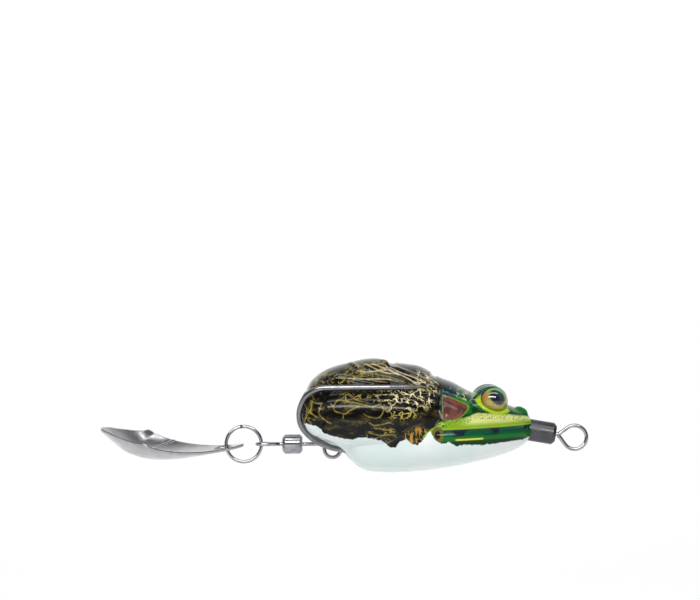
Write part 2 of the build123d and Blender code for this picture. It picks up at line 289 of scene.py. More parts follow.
def eye_axes(name):
    """Middle of an eye, the way it looks, and the across and up directions of its opening."""
    side = 1 if name == "eye_left" else -1
    look = Vector((0.3, side, 0.25)).normalized()
    across = Vector((1, 0, -0.18))
    across = (across - look * across.dot(look)).normalized()
    return EYE_MIDDLE[name], look, across, look.cross(across) * (-side)


def eye_fields(points, name):
    """Distances of points from an eye, in mm: across, up and along its look."""
    middle, look, across, up = eye_axes(name)
    offset = (points - np.array(middle)) / MM
    return offset @ np.array(across), offset @ np.array(up), offset @ np.array(look)


# Creases of the side view: route, half width and depth in mm (a negative depth stands proud), and how far
# across the body the crease begins and is at its full depth.
CREASES = [
    (MOUTH_LINE, 0.55, 0.42, 0.5, 2.0),
    (LIP_LINE, 0.9, -0.28, 1.0, 3.0),
    (SHOULDER_LINE, 0.7, 0.5, 7.0, 9.0),
    (HEEL_LINE, 0.5, 0.4, 6.0, 8.0),
]
RIDGE_RISE, RIDGE_HALF = 0.34, 0.42
SPINE_STEP_AT, SPINE_STEP_DEPTH = 19.0, 0.35
NECK_STEP_AT, NECK_STEP_DEPTH = 28.2, 0.45
EAR_SINK, EAR_RIM_RISE = 0.3, 0.2


def bead(distance, half):
    """1 on a line, falling away smoothly to either side."""
    return np.exp(-((distance / half) ** 2))


def carve_body(points, normals):
    """Moves the skin's points along their normals for its ridges, steps, creases and ears."""
    along, across, height = in_body_mm(points)
    lift = np.zeros(len(points))
    for ridge in FLANK_RIDGES:
        near = line_distance(along, height, ridge)
        lift += RIDGE_RISE * bead(near, RIDGE_HALF) * ramp(height, 16.5, 18.0) * ramp(across, 1.0, 4.0)
    spine = band(along, SPINE_STEP_AT, 0.3, 0.9) * ramp(height, 19, 21) * band(across, 0, 4.5, 2.5)
    lift -= SPINE_STEP_DEPTH * spine
    neck = band(along, NECK_STEP_AT - 0.06 * across, 0.2, 0.7) * ramp(height, 16, 18)
    lift -= NECK_STEP_DEPTH * neck
    for route, half, depth, begins, full in CREASES:
        lift -= depth * bead(line_distance(along, height, route), half) * ramp(across, begins, full)
    ear = patch_distance(along, height, TYMPANUM)
    ear_side = ramp(across, 5.0, 7.0)
    lift -= EAR_SINK * ramp(ear, -0.3, 0.5) * ear_side
    lift += EAR_RIM_RISE * bead(ear + 0.45, 0.35) * ear_side
    return points + normals * (lift * MM)[:, None]


def lid_reach(right, up):
    """How far out from the middle of an eye's opening, 1 at its border."""
    return np.hypot(right / EYE_OPENING[0], (up + LID_DROP) / EYE_OPENING[1])


def open_lids(points):
    """Sinks the skin behind each eye's dome and raises a rim round the opening."""
    for name in EYE_MIDDLE:
        right, up, out = eye_fields(points, name)
        reach = lid_reach(right, up)
        look = np.array(eye_axes(name)[1])
        facing = ramp(out, -1.0, 0.8)
        sink = (1 - ramp(reach, 0.78, 1.0)) * facing
        points = points - look * (sink * LID_SINK * MM)[:, None]
        rim = bead(reach - 1.16, 0.16) * facing
        points = points + look * (rim * LID_RIM * MM)[:, None]
    return points


def bed_for(points, normals, node, clearance_mm, deepest_mm):
    """Sinks skin points that come too near a CAD node's surface, so that the node lies in a shallow bed."""
    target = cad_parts[node]
    tree = KDTree(len(target.data.vertices))
    for i, v in enumerate(target.data.vertices):
        tree.insert(v.co, i)
    tree.balance()
    reach = (clearance_mm + deepest_mm) * MM
    sink = np.zeros(len(points))
    for i, point in enumerate(points):
        distance = tree.find(point)[2]
        if distance < reach:
            sink[i] = min(reach - distance, deepest_mm * MM)
    return points - normals * sink[:, None]


body = body_skin()
skin_points = carve_body(mesh_points(body), mesh_normals(body))
skin_points = open_lids(skin_points)
set_points(body, skin_points)
set_points(body, bed_for(skin_points, mesh_normals(body), "double_hook", HOOK_CLEARANCE, HOOK_BED_DEPTH))
smooth_shade(body)


# ---------------------------------------------------------------- body paint

def store(made, name, values):
    """Keeps one number for each point, for the material to read."""
    attribute = made.data.attributes.new(name, "FLOAT", "POINT")
    attribute.data.foreach_set("value", np.asarray(values, np.float32))


# Borders and lines of the paint, in millimetres.  Those of the side view are along and height; those of the
# back, the lids, the nose and the centre net are along and across.
BELLY_EDGE = [
    (0.0, 10.9), (3.2, 10.3), (4.8, 8.7), (7.4, 8.1), (9.8, 7.5), (12.3, 8.1), (14.8, 7.8), (16.6, 7.3),
    (17.4, 6.9), (18.3, 5.9), (19.6, 5.7), (20.5, 7.0), (22.0, 7.6), (23.0, 6.7), (24.2, 6.4), (25.4, 7.2),
    (26.4, 8.9), (27.1, 9.2), (27.9, 7.6), (29.4, 6.6), (31.2, 7.1), (32.7, 6.0), (33.8, 6.4), (38.5, 6.3),
    (42.5, 6.8), (47.4, 7.4), (49.2, 8.2),
]
MOUTH_HEIGHT = [(26.0, 8.6), (34.0, 8.9), (40.0, 9.2), (45.0, 9.5), (49.5, 9.8)]
LIP_TOP = [
    (27.5, 11.1), (32.0, 11.6), (35.0, 12.3), (37.0, 13.1), (40.5, 12.9), (44.0, 12.7), (48.0, 12.2),
    (50.0, 11.7),
]
MOUTH_CORNER, MOUTH_CORNER_REACH = (28.6, 8.5), (1.25, 1.9)
CREAM_PATCH = [
    (15.9, 18.1), (21.7, 19.1), (27.6, 18.7), (28.8, 17.8), (27.4, 15.2), (25.8, 13.4), (24.0, 12.4),
    (21.7, 11.6), (19.0, 11.9), (17.7, 14.0), (16.4, 16.2),
]
GOLD_CLUSTER = [(6.6, 20.2), (7.2, 22.0), (9.5, 22.6), (11.8, 21.8), (11.4, 20.3), (9.0, 19.8)]
DRIPS = [(21.4, 6.5), (21.6, 9.2), (23.4, 10.0), (25.6, 10.1), (27.2, 8.9), (26.6, 6.5)]
FOOT = [(13.6, 7.0), (14.0, 9.8), (16.4, 10.3), (19.4, 9.6), (18.6, 7.0)]
BACK_LOOPS = [
    [(5.9, 15.2), (6.5, 14.8), (7.4, 15.9), (9.4, 15.7), (12.1, 15.2), (14.6, 14.6), (16.4, 15.0),
     (17.1, 13.7), (16.1, 12.3), (14.2, 12.4), (12.8, 13.1)],
    [(6.5, 14.8), (6.9, 13.6), (9.1, 13.1), (9.8, 13.7), (11.9, 14.7)],
    [(8.7, 13.1), (8.5, 12.1)],
    [(1.5, 15.6), (3.1, 15.2), (3.9, 15.1), (3.4, 13.1), (5.0, 11.5), (6.0, 11.0)],
    [(1.9, 15.1), (1.7, 13.3), (3.0, 12.3)],
    [(14.1, 11.2), (15.1, 10.6), (17.1, 10.9), (18.2, 11.2), (19.4, 10.8)],
    [(15.0, 10.1), (17.3, 9.7), (18.9, 9.6)],
    [(14.2, 9.0), (16.4, 8.5), (19.1, 8.6), (19.8, 8.0)],
]
# Cream lines along the raised ridges of the flank: painted highlights.
FLANK_HIGHLIGHT_STROKES = [
    [(12.4, 24.1), (16.8, 21.9), (20.8, 21.2), (23.4, 19.7), (25.6, 17.9)],
    [(13.5, 23.9), (16.4, 23.0), (20.4, 21.2)],
    [(16.8, 24.1), (18.6, 22.3), (21.7, 20.8), (25.2, 19.0), (26.5, 18.4)],
    [(18.6, 22.8), (20.8, 21.7), (23.4, 20.8), (25.6, 19.7), (27.4, 18.2)],
    [(11.6, 22.1), (14.2, 21.9), (17.7, 22.3)],
    [(12.0, 24.1), (8.0, 22.6), (5.8, 21.9)],
    [(7.0, 20.6), (12.0, 20.4), (19.0, 20.2), (24.0, 18.4)],
]
BACK_PATCH = [(6.9, -0.1), (11.3, -0.1), (11.6, 2.4), (10.9, 3.1), (7.9, 3.0), (6.9, 2.2)]
LID_ALMOND = [(36.7, 3.0), (38.2, 0.9), (42.3, 1.3), (44.8, 2.7), (43.4, 4.7), (40.3, 5.6), (37.8, 5.0)]
NOSE_TOP = [(43.2, -0.1), (43.4, 2.3), (46.2, 2.6), (48.3, 1.3), (48.9, -0.1)]
CENTRE_NET = [
    [(16.5, 5.6), (18.0, 4.4), (19.8, 4.2), (20.6, 2.6), (20.2, 0.0)],
    [(24.0, 5.6), (27.0, 3.6), (29.2, 2.4), (29.0, 0.0)],
    [(29.2, 2.4), (28.0, 5.4), (26.0, 8.2)],
    [(11.8, 7.0), (13.6, 5.9), (15.2, 6.6), (16.5, 5.6), (17.6, 6.6), (16.2, 8.2)],
    [(24.6, 0.0), (24.6, 2.0)],
]
FAR_OUTSIDE, FAR_OFF = -5.0, 9.0


def height_on(line, along):
    return np.interp(along, [p[0] for p in line], [p[1] for p in line])


def nearest_line(x, y, routes):
    return np.min([line_distance(x, y, smooth_route(route)) for route in routes], axis=0)


def eye_paint(points):
    """For each point: how far it is inside an eye's painted rim in mm, and how far up the eye it stands."""
    rim = np.full(len(points), FAR_OUTSIDE)
    upness = np.zeros(len(points))
    for name in EYE_MIDDLE:
        right, up, out = eye_fields(points, name)
        here = np.where(out > 0.0, 0.55 - 1.9 * np.abs(lid_reach(right, up) - 1.05), FAR_OUTSIDE)
        upness = np.where(here > rim, ramp(up, -1.0, 0.6), upness)
        rim = np.maximum(rim, here)
    return rim, upness


def store_borders(made, along, across, height):
    """Borders of the painted areas, as distances that are positive inside."""
    store(made, "above_belly", height - height_on(BELLY_EDGE, along))
    low_pull = 3.8 * ramp(-height, -12.0, -7.8)
    centre_push = 2.6 * ramp(-across, -9.5, -5.5) * ramp(height, 14, 17)
    store(made, "head", along - (29.3 - low_pull + centre_push))
    store(made, "ear", np.where(across > 5.0, patch_distance(along, height, TYMPANUM), FAR_OUTSIDE))
    store(made, "mouth", np.where(along > 27.5, height - height_on(MOUTH_HEIGHT, along), FAR_OFF))
    store(made, "lip_top", height_on(LIP_TOP, along) - height)
    store(made, "back_patch", np.where(height > 18, patch_distance(along, across, BACK_PATCH), FAR_OUTSIDE))
    store(made, "nose_top", np.where(height > 11, patch_distance(along, across, NOSE_TOP), FAR_OUTSIDE))
    almond = smooth_route(LID_ALMOND + LID_ALMOND[:1])[:-1]
    lid = np.where(height > 14.5, patch_distance(along, across, almond), FAR_OUTSIDE)
    store(made, "lid", lid)
    store(made, "lid_line", np.where(across < 4.2, lid, FAR_OUTSIDE))
    corner = [(v - m) / r for v, m, r in zip((along, height), MOUTH_CORNER, MOUTH_CORNER_REACH)]
    store(made, "mouth_corner", np.where(across > 5.0, np.hypot(*corner), FAR_OFF))


def store_lines(made, along, across, height):
    """Distances to the drawn lines; adding to a distance keeps its line off that part of the body."""
    store(made, "loops", np.where(across > 8.0, nearest_line(along, height, BACK_LOOPS), FAR_OFF))
    store(made, "net", np.where(height > 15.0, nearest_line(along, across, CENTRE_NET), FAR_OFF))
    shown = ramp(height, 16.0, 17.5)
    # The strokes and the ridge lines mark where painted highlights run along the raised ridges.
    strokes = nearest_line(along, height, FLANK_HIGHLIGHT_STROKES)
    store(made, "strokes", strokes + 1.2 * (1 - ramp(across, 3.0, 6.0) * shown))
    ridges = nearest_line(along, height, FLANK_RIDGES)
    store(made, "ridges", ridges + 1.2 * (1 - ramp(across, 4.5, 8.5) * shown))


def store_back_strengths(made, along, across, height):
    """How strongly each kind of vein shows on the back and thighs, from 0 to 1."""
    side = ramp(across, 7.0, 8.5)
    cream = ramp(patch_distance(along, height, CREAM_PATCH), -0.9, 0.9) * side
    outer = 0.7 * ramp(across, 11.6, 12.6) * ramp(height, 14.6, 16.4) * ramp(along, 7.0, 9.0)
    neck = 0.7 * band(along, 26.5, 1.6, 1.2) * band(across, 8.0, 1.6, 1.2) * ramp(height, 17.0, 18.0)
    store(made, "cream_veins", np.maximum(np.maximum(cream, outer), neck))
    rump = ramp(-along, -3.2, -1.4) * ramp(height, 9.5, 12.0)
    net = band(across, 7.0, 2.2, 1.6) * ramp(height, 17.5, 19.0) * band(along, 8.0, 8.5, 3.0)
    patches = [patch_distance(along, height, p) for p in (GOLD_CLUSTER, DRIPS, FOOT)]
    spots = np.max([ramp(p, -0.8, 0.5) for p in patches], axis=0) * side
    store(made, "gold_veins", np.clip(0.8 * rump + 0.7 * net + 0.8 * spots, 0, 1))
    store(made, "drips", ramp(patches[1], -0.5, 0.4) * side)
    store(made, "paleness", ramp(height, 12.5, 17.0) * ramp(along, 13.0, 19.0))
    store(made, "thigh", ramp(across, 7.0, 9.0) * (1 - ramp(height, 15.5, 18.5)))
    spine = band(across, 0.0, 1.3, 0.8) * band(along, 19.0, 4.5, 2.0)
    store(made, "spine_marks", spine * ramp(height, 18.0, 20.0))


def store_head_strengths(made, along, across, height):
    """How pale the lip is, and how strongly lime and blue show on the head."""
    store(made, "lip_paleness", ramp(along, 32.5, 36.5))
    store(made, "lip_line", band(along, 35.4, 2.6, 0.6))
    cheek = band(along, 38.0, 3.5, 3.0) * band(across, 7.3, 1.5, 1.5) * ramp(height, 12.5, 13.5)
    crown = 0.6 * band(across, 0.0, 3.0, 2.0) * band(along, 35.0, 2.2, 2.0)
    store(made, "lime_veins", np.clip(cheek + crown, 0, 1) * ramp(along, 31.0, 33.0))
    neck = 0.8 * band(along, 30.5, 1.2, 2.2)
    store(made, "blue", band(across, 5.5, 2.4, 2.4) * band(along, 33.0, 3.2, 2.6) + neck)


def paint_body(made):
    """Stores everything that the paint reads from the mesh."""
    points = mesh_points(made)
    place = in_body_mm(points)
    store_borders(made, *place)
    store_lines(made, *place)
    store_back_strengths(made, *place)
    store_head_strengths(made, *place)
    rim, upness = eye_paint(points)
    store(made, "lid_rim", rim)
    store(made, "lid_upness", upness)


# ---------------------------------------------------------------- shader helpers

class Shader:
    """A node material under construction; each method adds a node and returns its output."""

    def __init__(self, name, **surface):
        self.material = bpy.data.materials.new(name)
        self.material.use_nodes = True
        self.tree = self.material.node_tree
        self.surface = self.tree.nodes["Principled BSDF"]
        for socket, value in surface.items():
            self.surface.inputs[socket.replace("_", " ")].default_value = value

    def node(self, kind, **settings):
        made = self.tree.nodes.new(kind)
        for key, value in settings.items():
            setattr(made, key, value)
        return made

    def feed(self, socket, value):
        if isinstance(value, bpy.types.NodeSocket):
            self.tree.links.new(value, socket)
        else:
            socket.default_value = value

    def set(self, socket, value):
        self.feed(self.surface.inputs[socket], value)

    def math(self, operation, first, second=0.0):
        made = self.node("ShaderNodeMath", operation=operation)
        self.feed(made.inputs[0], first)
        self.feed(made.inputs[1], second)
        return made.outputs[0]

    def step(self, value, low, high, start=0.0, end=1.0):
        made = self.node("ShaderNodeMapRange", interpolation_type="SMOOTHSTEP")
        for socket, given in zip(made.inputs, (value, low, high, start, end)):
            self.feed(socket, given)
        return made.outputs[0]

    def mix(self, factor, first, second):
        made = self.node("ShaderNodeMix", data_type="RGBA")
        self.feed(made.inputs[0], factor)
        self.feed(made.inputs[6], first)
        self.feed(made.inputs[7], second)
        return made.outputs[2]

    def stored(self, name):
        return self.node("ShaderNodeAttribute", attribute_name=name).outputs["Fac"]

    def place_mm(self):
        """The point's place in the row frame, in millimetres."""
        where = self.node("ShaderNodeTexCoord").outputs["Object"]
        made = self.node("ShaderNodeVectorMath", operation="SCALE")
        self.feed(made.inputs[0], where)
        made.inputs["Scale"].default_value = 1 / MM
        return made.outputs[0]

    def stretched(self, where, factors):
        made = self.node("ShaderNodeVectorMath", operation="MULTIPLY")
        self.feed(made.inputs[0], where)
        made.inputs[1].default_value = factors
        return made.outputs[0]

    def noise(self, where, scale, detail=3.0):
        made = self.node("ShaderNodeTexNoise")
        self.feed(made.inputs["Vector"], where)
        made.inputs["Scale"].default_value = scale
        made.inputs["Detail"].default_value = detail
        return made.outputs["Fac"]

    def warped(self, where, scale, amount):
        """Places pushed about by noise, so that a pattern made from them wanders."""
        cloud = self.node("ShaderNodeTexNoise")
        self.feed(cloud.inputs["Vector"], where)
        cloud.inputs["Scale"].default_value = scale
        cloud.inputs["Detail"].default_value = 2.0
        shift = self.node("ShaderNodeVectorMath", operation="MULTIPLY_ADD")
        self.feed(shift.inputs[0], cloud.outputs["Color"])
        shift.inputs[1].default_value = (amount, amount, amount)
        self.feed(shift.inputs[2], where)
        return shift.outputs[0]

    def cell_edges(self, where, scale):
        """Distance to the nearest edge between cells, in the pattern's own units."""
        made = self.node("ShaderNodeTexVoronoi", feature="DISTANCE_TO_EDGE")
        self.feed(made.inputs["Vector"], where)
        made.inputs["Scale"].default_value = scale
        return made.outputs["Distance"]

    def bump(self, height, strength, distance_mm):
        made = self.node("ShaderNodeBump")
        made.inputs["Strength"].default_value = strength
        made.inputs["Distance"].default_value = distance_mm * MM
        self.feed(made.inputs["Height"], height)
        self.feed(self.surface.inputs["Normal"], made.outputs[0])


def rgb(red, green, blue):
    return (red, green, blue, 1.0)


BLACK_OLIVE = rgb(0.0025, 0.0026, 0.0018)
DARK_OLIVE = rgb(0.022, 0.018, 0.010)
OLD_GOLD = rgb(0.16, 0.12, 0.025)
CREAM = rgb(0.86, 0.76, 0.50)
GOLD = rgb(0.34, 0.27, 0.05)
DRIP_GOLD = rgb(0.42, 0.23, 0.03)
ORANGE_GOLD = rgb(0.42, 0.22, 0.03)
HEAD_GREEN = rgb(0.006, 0.130, 0.012)
TEAL = rgb(0.003, 0.045, 0.040)
ICE_BLUE = rgb(0.16, 0.42, 0.40)
MOUTH_TEAL = rgb(0.003, 0.075, 0.034)
BLUE_BLACK = rgb(0.006, 0.014, 0.026)
DARK_GREEN = rgb(0.002, 0.030, 0.008)
LID_GREEN = rgb(0.002, 0.060, 0.022)
LIME = rgb(0.36, 0.50, 0.012)
PALE_LIP = rgb(0.56, 0.60, 0.20)
LIME_LIP = rgb(0.20, 0.36, 0.012)
YELLOW = rgb(0.72, 0.66, 0.05)
BELLY = rgb(0.75, 0.80, 0.785)
MINT = rgb(0.66, 0.765, 0.745)
FOLD_HIGHLIGHT_OLIVE = rgb(0.13, 0.12, 0.022)
EAR_BROWN = rgb(0.15, 0.050, 0.036)
EAR_DARK = rgb(0.080, 0.028, 0.022)


class FrogPaint(Shader):
    """The frog's paint.  Each method lays more of it over what it is given."""

    def __init__(self):
        super().__init__("frog paint", Coat_Weight=0.10, Coat_Roughness=0.03, Specular_IOR_Level=0.16)
        self.where = self.place_mm()
        self.coarse = self.cell_edges(self.warped(self.where, 0.5, 2.0), 0.36)
        self.fine = self.cell_edges(self.warped(self.where, 0.9, 1.5), 0.62)
        self.breaks = self.noise(self.where, 0.9, 2.0)
        self.cloud = self.noise(self.where, 0.35, 5.0)
        self.speck = self.noise(self.where, 3.2, 4.0)
        self.brush = self.noise(self.where, 1.4)
        self.wobble = self.times(self.math("SUBTRACT", self.brush, 0.5), 1.1)
        self.thick = self.step(self.noise(self.where, 0.75, 1.0), 0.35, 0.65, 0.4, 1.3)
        self.cream_line = self.both_veins((0.042, 0.34), (0.056, 0.46), self.stored("cream_veins"))

    def times(self, first, second):
        return self.math("MULTIPLY", first, second)

    def over(self, base, colour, strength):
        return self.mix(strength, base, colour)

    def wobbled(self, name, amount):
        """A stored distance made uneven, as by a brush, by about the amount in mm."""
        return self.math("ADD", self.stored(name), self.times(self.wobble, amount))

    def inside(self, name, soft=0.12, amount=0.0):
        return self.step(self.wobbled(name, amount), -soft, soft)

    def stripe(self, value, centre, half, soft=0.12):
        off = self.math("ABSOLUTE", self.math("SUBTRACT", value, centre))
        return self.step(off, half + soft, half - soft)

    def drawn(self, name, half, amount=0.12):
        """A stored line, drawn about twice the half width thick."""
        width = self.step(self.thick, 0.4, 1.3, 0.75 * half, 1.1 * half)
        return self.step(self.math("SUBTRACT", self.wobbled(name, amount), width), 0.10, -0.10)

    def veins(self, edges, half_width, strength, gap):
        """Lines between cells, broken up more as the gap grows."""
        line = self.step(self.math("DIVIDE", edges, self.times(self.thick, half_width)), 1.25, 0.7)
        kept = self.step(self.breaks, gap, gap + 0.06)
        return self.times(self.times(line, kept), strength)

    def both_veins(self, coarse, fine, strength):
        """Coarse and fine veins together; each is given as its half width and gap."""
        wide = self.veins(self.coarse, coarse[0], strength, coarse[1])
        return self.math("MAXIMUM", wide, self.veins(self.fine, fine[0], strength, fine[1]))

    def ground(self):
        """Near-black ground with olive smoke, worn to old gold on the thighs."""
        smoke = self.noise(self.stretched(self.where, (0.30, 0.6, 0.75)), 1.0, 5.0)
        ground = self.over(BLACK_OLIVE, DARK_OLIVE, self.step(smoke, 0.46, 0.66))
        worn = self.times(self.step(smoke, 0.56, 0.64), self.step(self.speck, 0.48, 0.60))
        return self.over(ground, OLD_GOLD, self.times(worn, self.times(self.stored("thigh"), 0.45)))

    def gold_marks(self, back):
        """Gold net and loops, golden drips, and orange marks along the spine."""
        gold = self.stored("gold_veins")
        back = self.over(back, GOLD, self.veins(self.coarse, 0.034, gold, 0.40))
        back = self.over(back, GOLD, self.veins(self.fine, 0.052, self.times(gold, 0.8), 0.47))
        back = self.over(back, GOLD, self.times(self.drawn("loops", 0.13), 0.66))
        streaks = self.noise(self.stretched(self.where, (1.3, 0.4, 0.35)), 1.0, 2.0)
        drips = self.times(self.stored("drips"), self.step(streaks, 0.50, 0.58))
        back = self.over(back, DRIP_GOLD, drips)
        net = self.times(self.drawn("net", 0.15, 0.5), self.step(self.breaks, 0.40, 0.46))
        back = self.over(back, ORANGE_GOLD, net)
        return self.over(back, ORANGE_GOLD, self.veins(self.fine, 0.06, self.stored("spine_marks"), 0.50))

    def cream_marks(self, back):
        """Cream net, long cream strokes and gold lines along the ridges that are painted highlights, and the
        plain patch over the rump.
        """
        pale = self.times(self.stored("paleness"), self.step(self.speck, 0.3, 0.6))
        back = self.over(back, self.mix(pale, GOLD, CREAM), self.cream_line)
        # Cream strokes and gold ridge lines: painted highlight along the raised ridges.
        back = self.over(back, CREAM, self.times(self.drawn("strokes", 0.10), 0.65))
        back = self.over(back, GOLD, self.times(self.drawn("ridges", 0.11), 0.7))
        return self.over(back, BLACK_OLIVE, self.inside("back_patch", 0.25))

    def crown(self):
        """Top of the head: green, going teal and blue-black at the neck, with lime lines and ice-blue
        streaks that are painted highlights.
        """
        blue = self.stored("blue")
        head = self.over(HEAD_GREEN, DARK_GREEN, self.step(self.cloud, 0.50, 0.62))
        teal = self.step(self.times(blue, self.math("ADD", self.cloud, 0.4)), 0.2, 0.6)
        head = self.over(head, TEAL, teal)
        head = self.over(head, BLUE_BLACK, self.step(self.times(blue, self.brush), 0.44, 0.60))
        # Ice-blue streaks on the dark neck: painted highlight lines.
        streak = self.cell_edges(self.stretched(self.warped(self.where, 0.5, 1.5), (0.35, 0.9, 0.9)), 0.6)
        ice_highlight_streaks = self.times(self.step(blue, 0.25, 0.6), self.step(streak, 0.05, 0.02))
        head = self.over(head, ICE_BLUE, self.times(ice_highlight_streaks, self.step(self.breaks, 0.52, 0.60)))
        lime = self.both_veins((0.036, 0.42), (0.060, 0.50), self.stored("lime_veins"))
        head = self.over(head, LIME, lime)
        return self.over(head, DARK_GREEN, self.inside("nose_top", 0.3, 0.5))

    def lip_and_lids(self, head):
        """Lime lip going pale forward, with freckles, and dark almond lids with a yellow inner line."""
        lip_top = self.stored("lip_top")
        pale = self.times(self.step(self.stored("mouth"), 1.2, 2.4), self.stored("lip_paleness"))
        head = self.over(head, self.over(LIME_LIP, PALE_LIP, pale), self.inside("lip_top", 0.35, 0.5))
        freckles = self.times(self.step(self.speck, 0.56, 0.62), self.stripe(lip_top, 0.7, 0.5))
        head = self.over(head, DARK_GREEN, freckles)
        head = self.over(head, YELLOW, self.stripe(self.stored("lid_line"), -0.15, 0.10))
        lid = self.mix(self.step(self.cloud, 0.4, 0.6), LID_GREEN, DARK_GREEN)
        head = self.over(head, lid, self.inside("lid", 0.12))
        return self.over(head, DARK_GREEN, self.stripe(lip_top, -0.35, 0.16))

    def mouth(self, head):
        """Blotched dark band, green below it with a short yellow line, and the fold at the corner painted
        in: an olive painted highlight round a black painted shade.
        """
        mouth, corner = self.stored("mouth"), self.stored("mouth_corner")
        below = self.over(HEAD_GREEN, DARK_GREEN, self.step(mouth, -1.5, -1.9))
        line = self.times(self.stripe(mouth, -1.4, 0.17), self.stored("lip_line"))
        head = self.over(head, self.over(below, YELLOW, line), self.step(mouth, -0.4, -0.6))
        blotches = self.step(self.noise(self.where, 0.30, 1.0), 0.50, 0.58)
        dark_band = self.over(MOUTH_TEAL, BLUE_BLACK, blotches)
        head = self.over(head, dark_band, self.stripe(mouth, 0.05, 0.75, 0.18))
        head = self.over(head, LIME, self.stripe(mouth, 1.0, 0.10))
        # The mouth corner's fold is painted, not shaped: the olive ring is painted highlight and the black
        # middle is painted shade.
        head = self.over(head, FOLD_HIGHLIGHT_OLIVE, self.step(corner, 1.15, 0.85))
        return self.over(head, BLACK_OLIVE, self.step(corner, 0.62, 0.35))

    def ear_and_rims(self, head):
        """Brown ear with a faint yellow edge, and the painted rims of the eyes."""
        edge = self.times(self.stripe(self.stored("ear"), -0.1, 0.14), 0.22)
        head = self.over(head, YELLOW, edge)
        skin = self.mix(self.step(self.cloud, 0.4, 0.62), EAR_BROWN, EAR_DARK)
        head = self.over(head, skin, self.inside("ear", 0.10))
        rim = self.mix(self.stored("lid_upness"), LIME, TEAL)
        return self.over(head, rim, self.inside("lid_rim", 0.15))


def frog_paint():
    """Back and head painted down to the wavy edge of the pale belly."""
    made = FrogPaint()
    back = made.cream_marks(made.gold_marks(made.ground()))
    head = made.ear_and_rims(made.mouth(made.lip_and_lids(made.crown())))
    border = made.wobbled("head", 0.5)
    painted = made.over(back, head, made.step(border, -0.12, 0.12))
    edge = made.times(made.stripe(border, -0.2, 0.16), made.times(made.stored("cream_veins"), 0.7))
    painted = made.over(painted, CREAM, edge)
    belly = made.over(BELLY, MINT, made.step(made.noise(made.where, 0.12, 1.0), 0.40, 0.65))
    made.set("Base Color", made.over(belly, painted, made.inside("above_belly", 0.1, 0.8)))
    made.set("Roughness", made.step(made.speck, 0.3, 0.7, 0.09, 0.20))
    relief = made.math("ADD", made.times(made.cream_line, 0.6), made.times(made.speck, 0.2))
    made.bump(relief, 0.35, 0.06)
    return made.material


paint_body(body)
body.data.materials.clear()
body.data.materials.append(frog_paint())
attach(body, "body")
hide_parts("body_shell")


# ---------------------------------------------------------------- metals and eyes

def metal(name, colour, dull_colour, roughness):
    """Plated metal with faint smudges and a fine grain."""
    made = Shader(name, Metallic=1.0)
    where = made.place_mm()
    smudge = made.noise(where, 0.45, 4.0)
    grain = made.noise(where, 3.0, 2.0)
    made.set("Base Color", made.mix(made.step(smudge, 0.42, 0.68), colour, dull_colour))
    made.set("Roughness", made.step(smudge, 0.35, 0.65, roughness * 0.8, roughness * 1.4))
    made.bump(grain, 0.04, 0.004)
    return made.material


PUPIL_MIDDLE = (0.0, 0.15)
PUPIL_REACH = (1.75, 1.35)
PUPIL_TURN = -0.5


def eye_material(name):
    """Glossy eye: dark oval pupil with a blue sheen painted on as a reflection, gold iris going green
    towards the top.
    """
    middle, look, across, up = eye_axes(name)
    made = Shader("paint of " + name, Roughness=0.12, Coat_Weight=1.0, Coat_Roughness=0.02)
    where = made.node("ShaderNodeTexCoord").outputs["Object"]

    def reach_along(direction):
        offset = made.node("ShaderNodeVectorMath", operation="SUBTRACT")
        made.feed(offset.inputs[0], where)
        offset.inputs[1].default_value = middle
        dot = made.node("ShaderNodeVectorMath", operation="DOT_PRODUCT")
        made.feed(dot.inputs[0], offset.outputs[0])
        dot.inputs[1].default_value = direction
        return made.math("MULTIPLY", dot.outputs["Value"], 1 / MM)

    right, high = reach_along(across), reach_along(up)
    turned = across * math.cos(PUPIL_TURN) + up * math.sin(PUPIL_TURN)
    crossed = up * math.cos(PUPIL_TURN) - across * math.sin(PUPIL_TURN)
    wide = made.math("SUBTRACT", reach_along(turned), PUPIL_MIDDLE[0])
    tall = made.math("SUBTRACT", reach_along(crossed), PUPIL_MIDDLE[1])
    oval = made.math(
        "SQRT",
        made.math(
            "ADD",
            made.math("POWER", made.math("DIVIDE", wide, PUPIL_REACH[0]), 2.0),
            made.math("POWER", made.math("DIVIDE", tall, PUPIL_REACH[1]), 2.0),
        ),
    )
    fleck = made.noise(made.place_mm(), 2.5, 4.0)
    gold = made.mix(fleck, rgb(0.27, 0.19, 0.035), rgb(0.42, 0.36, 0.09))
    iris = made.mix(made.step(high, 0.6, 2.2), gold, rgb(0.05, 0.30, 0.06))
    iris = made.mix(made.step(right, -1.4, -2.8), iris, rgb(0.34, 0.17, 0.045))
    # The pupil's blue sheen is a painted reflection, lighter towards one side of the pupil.
    painted_sheen = made.step(made.math("ADD", tall, made.math("MULTIPLY", wide, 0.35)), -0.2, 0.9)
    pupil = made.mix(made.math("MULTIPLY", painted_sheen, 0.45), rgb(0.002, 0.003, 0.006), rgb(0.03, 0.10, 0.15))
    ring = made.step(made.math("ABSOLUTE", made.math("SUBTRACT", oval, 1.05)), 0.14, 0.04)
    painted = made.mix(made.step(oval, 1.04, 0.97), iris, pupil)
    made.set("Base Color", made.mix(made.math("MULTIPLY", ring, 0.6), painted, rgb(0.01, 0.05, 0.012)))
    made.bump(fleck, 0.15, 0.05)
    return made.material


def paint_node(node, material):
    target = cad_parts[node]
    target.data.materials.clear()
    target.data.materials.append(material)


